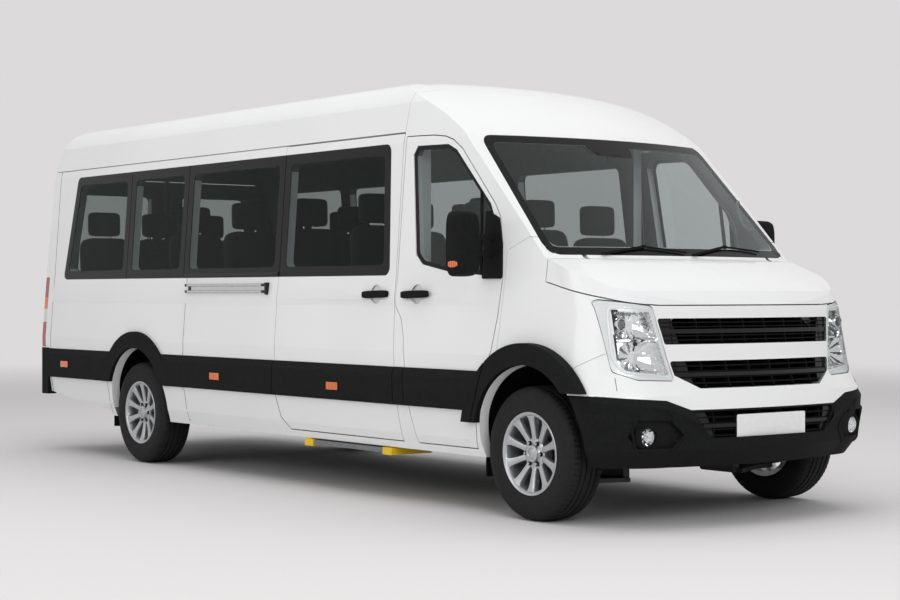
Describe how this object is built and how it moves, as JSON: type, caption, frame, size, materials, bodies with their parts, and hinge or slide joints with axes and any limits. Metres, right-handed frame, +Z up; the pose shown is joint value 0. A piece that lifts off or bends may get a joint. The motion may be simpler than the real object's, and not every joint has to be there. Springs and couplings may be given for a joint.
{
  "type": "minibus",
  "caption": "Long high-roof minibus with hinged front and rear doors, opening bonnet, steered front wheels, retracting side step and passenger seats.",
  "frame": {"origin": "on the ground, under the middle of the vehicle's box", "axes": "+X towards the nose, +Y to the vehicle's left, +Z up"},
  "size_m": [6.6898, 2.47, 2.487],
  "materials": {
    "white_paint": "gloss",
    "dark_glass": "gloss",
    "clear_glass": "gloss",
    "charcoal_plastic": "matt",
    "clear_lens": "gloss",
    "red_lens": "gloss",
    "amber_lens": "gloss",
    "bright_rail": "satin",
    "floor_covering": "matt",
    "black_frame": "satin",
    "steel_sheet": "satin",
    "cast_iron": "matt",
    "spring_steel": "satin",
    "exhaust_steel": "satin",
    "wheel_alloy": "satin",
    "tyre_rubber": "matt",
    "cabin_plastic": "matt",
    "seat_fabric": "woven"
  },
  "bodies": {
    "body": {"roof_panel": "white_paint", "side_right": "white_paint", "side_left": "white_paint", "rear_frame": "white_paint", "sliding_door": "white_paint", "wings_and_cowl": "white_paint", "front_panel": "white_paint", "cab_frame": "white_paint", "side_glass": "dark_glass", "windscreen": "clear_glass", "grille": "charcoal_plastic", "bumper_front": "charcoal_plastic", "bumper_rear": "charcoal_plastic", "cladding": "charcoal_plastic", "wipers": "charcoal_plastic", "headlamps": "clear_lens", "tail_lamps": "red_lens", "marker_lamps": "amber_lens", "door_rail": "bright_rail", "floor": "floor_covering", "bulkhead": "steel_sheet", "wheel_wells": "steel_sheet", "chassis": "black_frame", "engine": "cast_iron", "front_axle": "cast_iron", "rear_axle": "cast_iron", "leaf_springs": "spring_steel", "exhaust": "exhaust_steel", "dashboard": "cabin_plastic", "seat_bases": "seat_fabric", "seat_backs": "seat_fabric"},
    "front_door_right": {"front_door_right": "white_paint", "door_glass_right": "clear_glass", "door_trim_right": "charcoal_plastic"},
    "front_door_left": {"front_door_left": "white_paint", "door_glass_left": "clear_glass", "door_trim_left": "charcoal_plastic"},
    "rear_door_right": {"rear_door_right": "white_paint", "rear_glass_right": "dark_glass"},
    "rear_door_left": {"rear_door_left": "white_paint", "rear_glass_left": "dark_glass"},
    "bonnet": {"bonnet": "white_paint"},
    "side_step": {"side_step": "charcoal_plastic"},
    "steer_right": {"knuckle_right": "cast_iron"},
    "steer_left": {"knuckle_left": "cast_iron"},
    "wheel_front_right": {"rim_front_right": "wheel_alloy", "tyre_front_right": "tyre_rubber"},
    "wheel_front_left": {"rim_front_left": "wheel_alloy", "tyre_front_left": "tyre_rubber"},
    "wheel_rear_right": {"rim_rear_right": "wheel_alloy", "tyre_rear_right": "tyre_rubber"},
    "wheel_rear_left": {"rim_rear_left": "wheel_alloy", "tyre_rear_left": "tyre_rubber"}
  },
  "joints": [
    {"name": "front_door_right_hinge", "type": "hinge", "parent": "body", "child": "front_door_right", "pos_m": [2.263, -1.062, 1.2], "axis": [0, 0, 1], "range_deg": [0, 70]},
    {"name": "front_door_left_hinge", "type": "hinge", "parent": "body", "child": "front_door_left", "pos_m": [2.263, 1.062, 1.2], "axis": [0, 0, -1], "range_deg": [0, 70]},
    {"name": "rear_door_right_hinge", "type": "hinge", "parent": "body", "child": "rear_door_right", "pos_m": [-3.292, -0.906, 1.4], "axis": [0, 0, 1], "range_deg": [0, 90]},
    {"name": "rear_door_left_hinge", "type": "hinge", "parent": "body", "child": "rear_door_left", "pos_m": [-3.292, 0.906, 1.4], "axis": [0, 0, -1], "range_deg": [0, 90]},
    {"name": "bonnet_hinge", "type": "hinge", "parent": "body", "child": "bonnet", "pos_m": [2.598, 0, 1.39], "axis": [0, -1, 0], "range_deg": [0, 50]},
    {"name": "side_step_slide", "type": "slide", "parent": "body", "child": "side_step", "axis": [0, -1, 0], "range_m": [0, 0.2]},
    {"name": "steer_right_pivot", "type": "hinge", "parent": "body", "child": "steer_right", "pos_m": [2.525, -0.8, 0.356], "axis": [0, 0, 1], "range_deg": [-35, 35]},
    {"name": "steer_left_pivot", "type": "hinge", "parent": "body", "child": "steer_left", "pos_m": [2.525, 0.8, 0.356], "axis": [0, 0, 1], "range_deg": [-35, 35]},
    {"name": "wheel_front_right_spin", "type": "hinge", "parent": "steer_right", "child": "wheel_front_right", "pos_m": [2.525, -0.8875, 0.356], "axis": [0, 1, 0], "continuous": true},
    {"name": "wheel_front_left_spin", "type": "hinge", "parent": "steer_left", "child": "wheel_front_left", "pos_m": [2.525, 0.8875, 0.356], "axis": [0, 1, 0], "continuous": true},
    {"name": "wheel_rear_right_spin", "type": "hinge", "parent": "body", "child": "wheel_rear_right", "pos_m": [-1.775, -0.8875, 0.356], "axis": [0, 1, 0], "continuous": true},
    {"name": "wheel_rear_left_spin", "type": "hinge", "parent": "body", "child": "wheel_rear_left", "pos_m": [-1.775, 0.8875, 0.356], "axis": [0, 1, 0], "continuous": true}
  ],
  "couplings": [
    {"joint": "steer_left_pivot", "follows": "steer_right_pivot", "ratio": 1}
  ]
}
